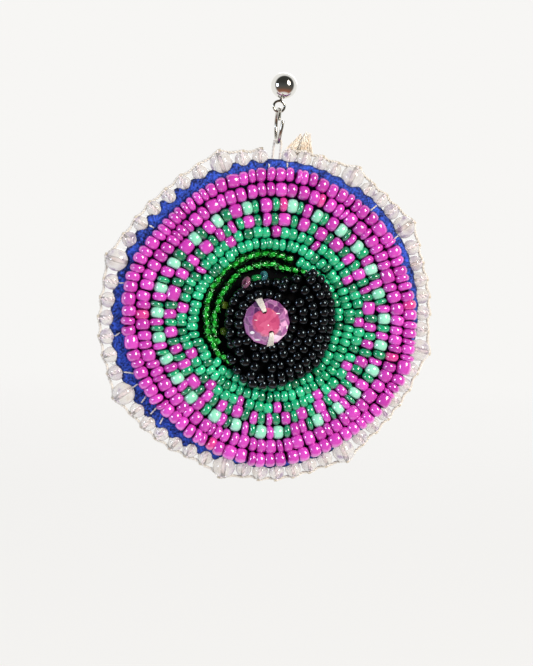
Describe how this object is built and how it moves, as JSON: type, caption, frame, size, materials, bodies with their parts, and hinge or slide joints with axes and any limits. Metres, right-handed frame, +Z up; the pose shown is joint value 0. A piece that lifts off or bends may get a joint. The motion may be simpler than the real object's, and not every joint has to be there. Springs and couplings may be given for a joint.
{
  "type": "beaded drop earring",
  "caption": "Round drop earring: seed-bead rows, a black bead dome and a faceted stone on a felt disc edged with clear beads, hung by a jump ring from a ball stud.",
  "frame": {"origin": "root of the post, where the back of the stud's ball meets the ear", "axes": "+Z up, the front faces -Y, +X to the right seen from the front, the post points along +Y"},
  "size_m": [0.0592, 0.0176, 0.0713],
  "materials": {
    "silver_metal": "polished",
    "white_thread": "matte",
    "tuft_thread": "matte",
    "blue_felt": "matte",
    "magenta_glass": "gloss",
    "mixed_glass": "gloss",
    "green_glass": "gloss",
    "emerald_glass": "gloss",
    "black_glass": "gloss",
    "clear_glass": "gloss",
    "pink_stone": "gloss"
  },
  "bodies": {
    "stud": {"ball_stud": "silver_metal"},
    "ring": {"jump_ring": "silver_metal"},
    "medallion": {"hanging_loop": "white_thread", "felt_disc": "blue_felt", "magenta_row_outer": "magenta_glass", "magenta_row_inner": "magenta_glass", "mixed_row_outer": "mixed_glass", "mixed_row_inner": "mixed_glass", "green_row_outer": "green_glass", "green_row_middle": "green_glass", "green_row_inner": "green_glass", "emerald_row_outer": "emerald_glass", "emerald_row_inner": "emerald_glass", "black_bead_dome": "black_glass", "sew_on_stone": "pink_stone", "large_bead_1": "clear_glass", "large_bead_2": "clear_glass", "large_bead_3": "clear_glass", "large_bead_4": "clear_glass", "large_bead_5": "clear_glass", "large_bead_6": "clear_glass", "large_bead_7": "clear_glass", "large_bead_8": "clear_glass", "small_edge_beads": "clear_glass", "edging_thread": "white_thread", "thread_tuft": "tuft_thread"}
  },
  "joints": [
    {"name": "ring_swing", "type": "hinge", "parent": "stud", "child": "ring", "pos_m": [-0.00069, -0.0023, -0.00451], "axis": [1, 0, 0], "range_deg": [-60, 60]},
    {"name": "medallion_swing", "type": "hinge", "parent": "ring", "child": "medallion", "pos_m": [-0.00069, -0.0023, -0.0098], "axis": [0, 1, 0], "range_deg": [-45, 45]}
  ]
}
